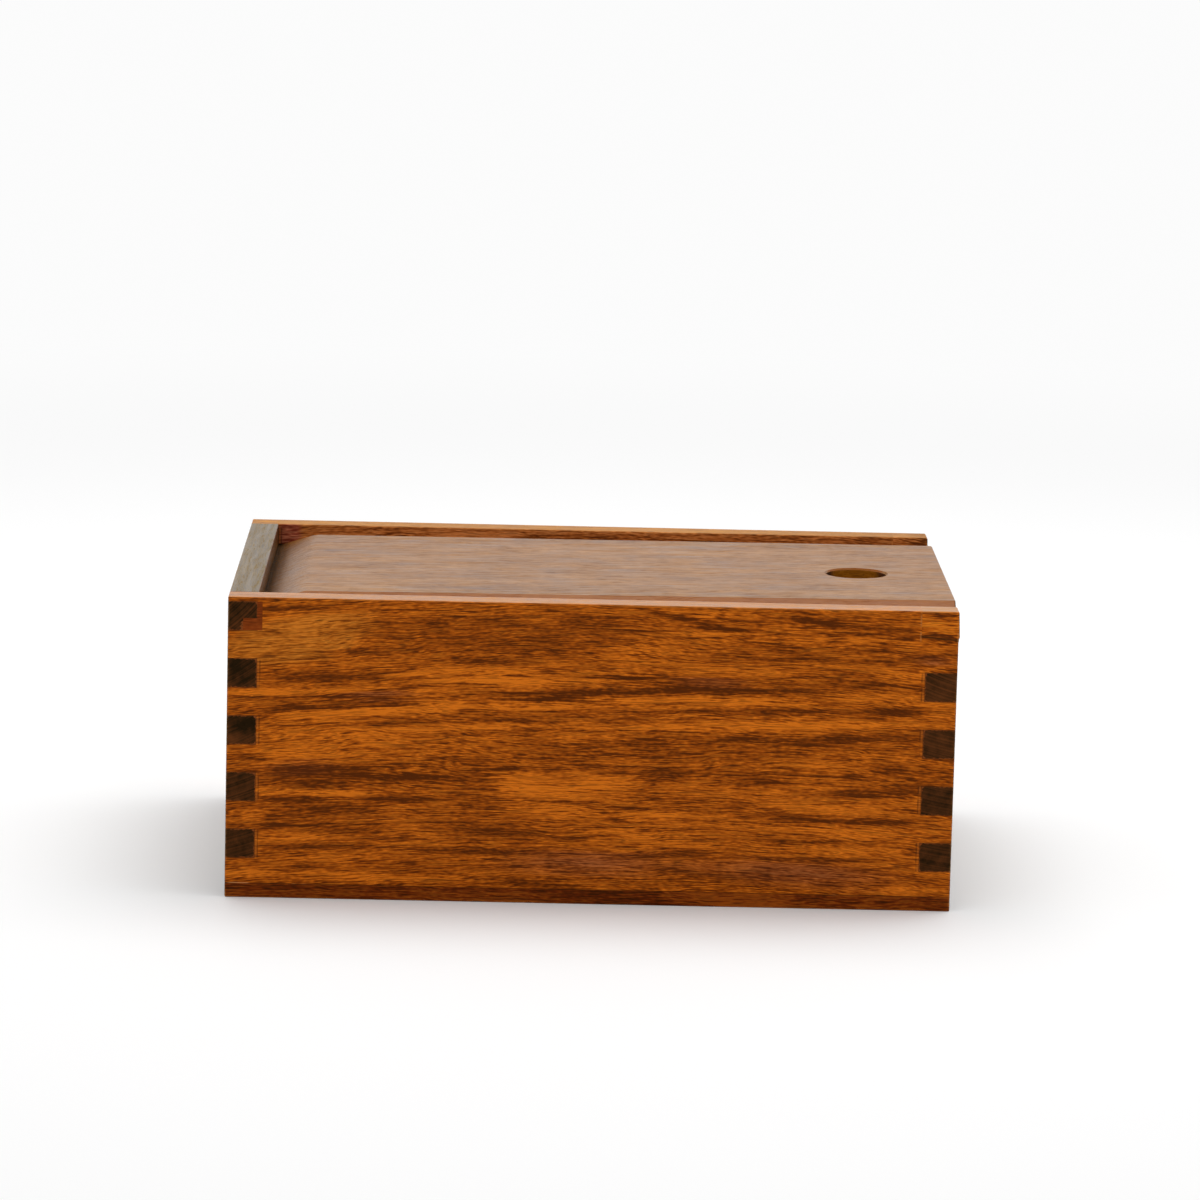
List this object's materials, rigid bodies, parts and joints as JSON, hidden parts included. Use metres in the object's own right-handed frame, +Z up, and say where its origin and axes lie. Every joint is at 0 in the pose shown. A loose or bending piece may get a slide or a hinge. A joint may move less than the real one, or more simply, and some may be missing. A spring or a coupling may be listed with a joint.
{
  "type": "storage box with sliding lid",
  "caption": "Finger-jointed wooden storage box for chess pieces, with a raised-panel lid that slides in grooves and has a round finger recess near its open end.",
  "frame": {"origin": "middle of the underside of the case", "axes": "+X along the box, the way the lid slides open; +Y from the front to the back; +Z up"},
  "size_m": [0.2626, 0.179, 0.11],
  "materials": {
    "case_wood": "oiled satin",
    "end_wood": "oiled satin",
    "panel_wood": "oiled satin",
    "block_wood": "oiled satin",
    "filler": "matte",
    "lid_wood": "oiled satin"
  },
  "bodies": {
    "case": {"front_board": "case_wood", "back_board": "case_wood", "left_end_board": "end_wood", "right_end_board": "end_wood", "bottom_panel": "panel_wood", "front_corner_block": "block_wood", "back_corner_block": "block_wood", "front_groove_plug": "filler", "back_groove_plug": "filler"},
    "lid": {"lid_panel": "lid_wood"}
  },
  "joints": [
    {"name": "lid_slide", "type": "slide", "parent": "case", "child": "lid", "axis": [1, 0, 0], "range_m": [0, 0.24]}
  ]
}
